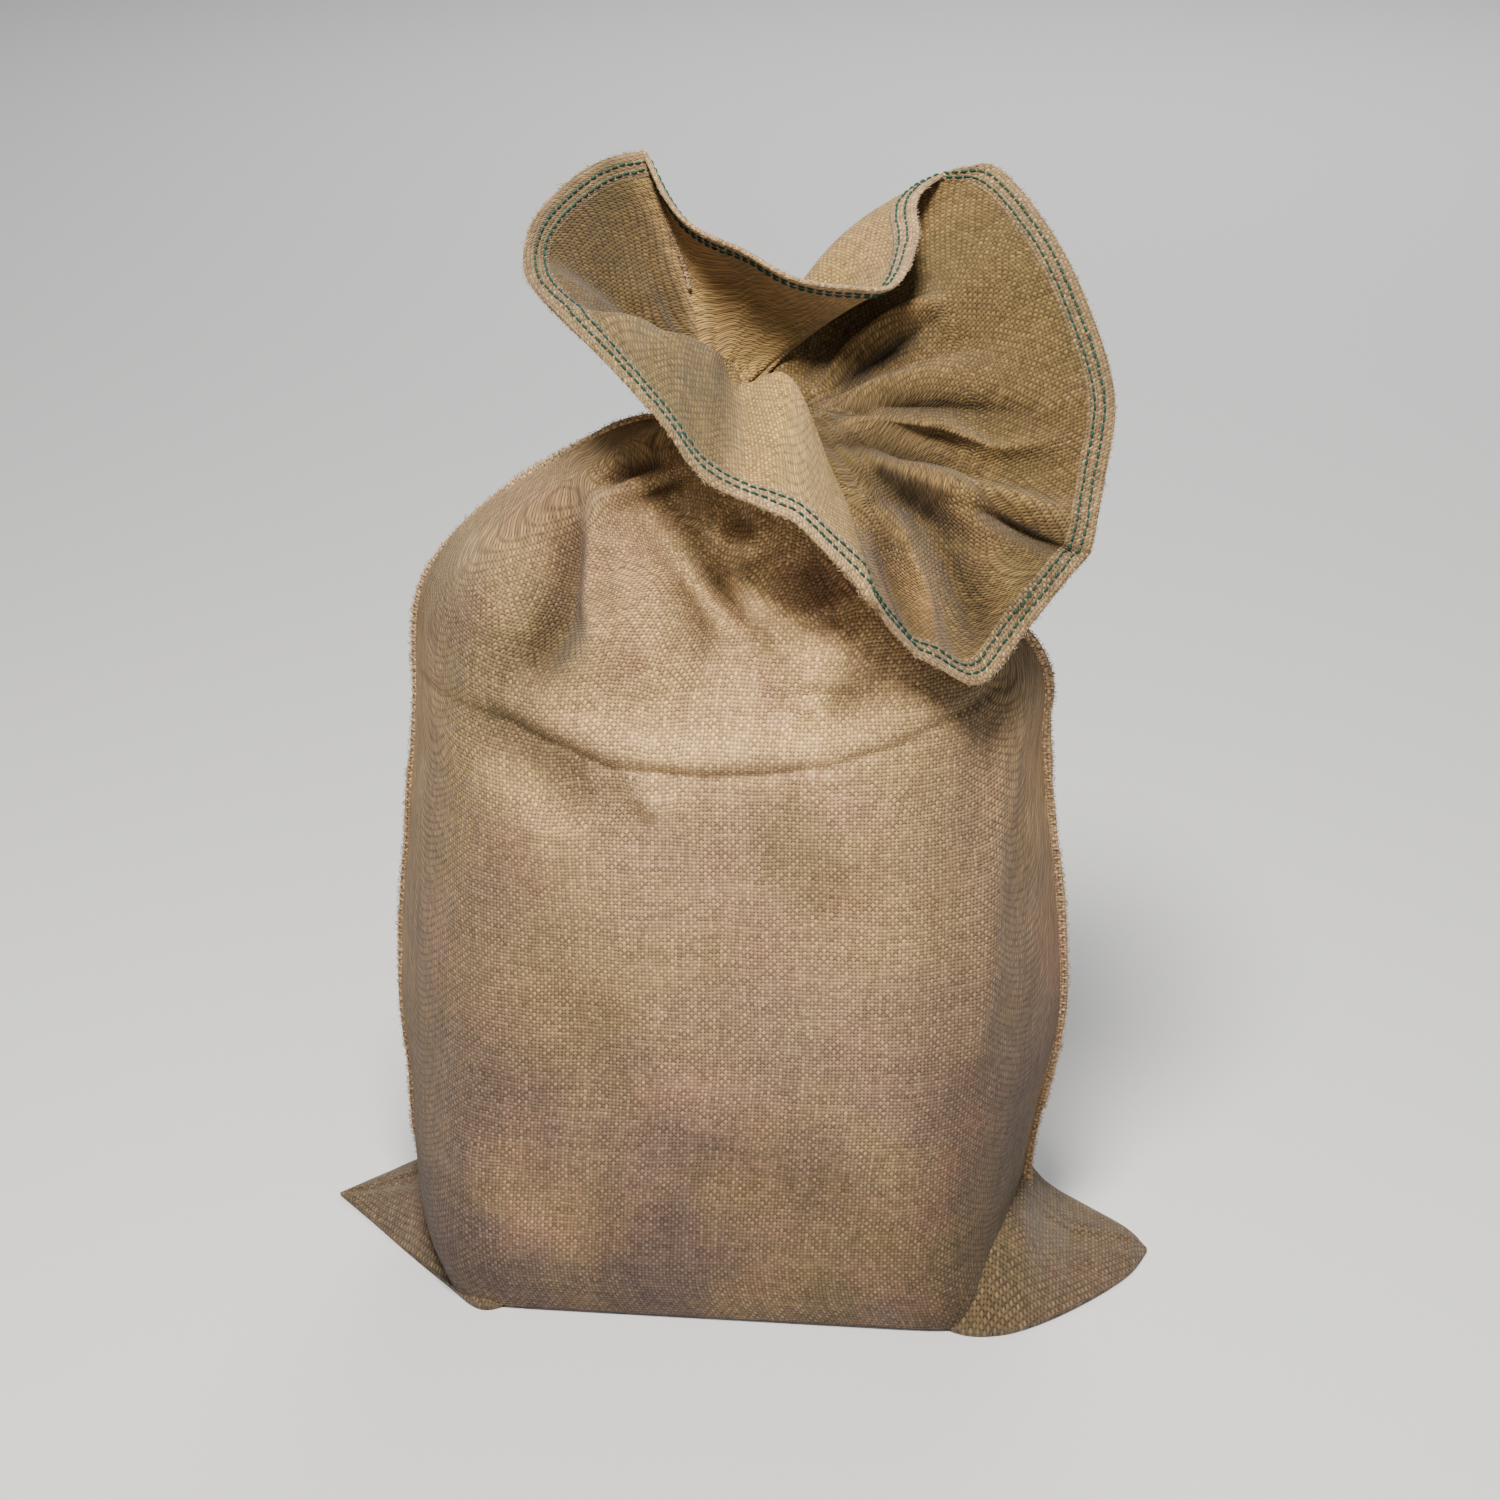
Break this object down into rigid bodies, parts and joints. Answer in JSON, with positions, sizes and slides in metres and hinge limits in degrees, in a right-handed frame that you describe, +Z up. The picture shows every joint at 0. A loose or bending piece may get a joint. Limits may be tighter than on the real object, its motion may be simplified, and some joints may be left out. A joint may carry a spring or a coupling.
{
  "type": "sack race bag",
  "caption": "Hessian sack race bag standing stuffed on its folded bottom, gathered at the neck, with a wide flopped mouth, stitched hem and flat bottom corners.",
  "frame": {"origin": "middle of the underside of the sack's folded bottom, on the surface that it stands on", "axes": "+Z up, +X from the left side seam to the right side seam, -Y towards the front"},
  "size_m": [0.59, 0.2718, 0.7599],
  "materials": {
    "hessian": "matte",
    "seam": "matte",
    "hem": "matte",
    "thread": "matte",
    "filling": "matte"
  },
  "bodies": {
    "root": {"bottom_panel": "hessian", "front_panel": "hessian", "back_panel": "hessian", "left_side_seam": "seam", "right_side_seam": "seam", "filling": "filling", "neck_gather": "hessian", "left_corner_root": "hessian", "right_corner_root": "hessian"},
    "mouth": {"mouth_front_panel": "hessian", "mouth_back_panel": "hessian", "mouth_left_seam": "seam", "mouth_right_seam": "seam", "mouth_hem": "hem", "outer_hem_thread": "thread", "inner_hem_thread": "thread"},
    "left_corner": {"left_corner_flap": "hessian"},
    "right_corner": {"right_corner_flap": "hessian"}
  },
  "joints": [
    {"name": "mouth_lift", "type": "hinge", "parent": "root", "child": "mouth", "pos_m": [0.015, 0.048, 0.612], "axis": [-1, 0, 0], "range_deg": [0, 30]},
    {"name": "left_corner_fold", "type": "hinge", "parent": "root", "child": "left_corner", "pos_m": [-0.231, 0.008, 0.012], "axis": [0, 1, 0], "range_deg": [0, 45]},
    {"name": "right_corner_fold", "type": "hinge", "parent": "root", "child": "right_corner", "pos_m": [0.214, -0.012, 0.012], "axis": [0, -1, 0], "range_deg": [0, 45]}
  ]
}
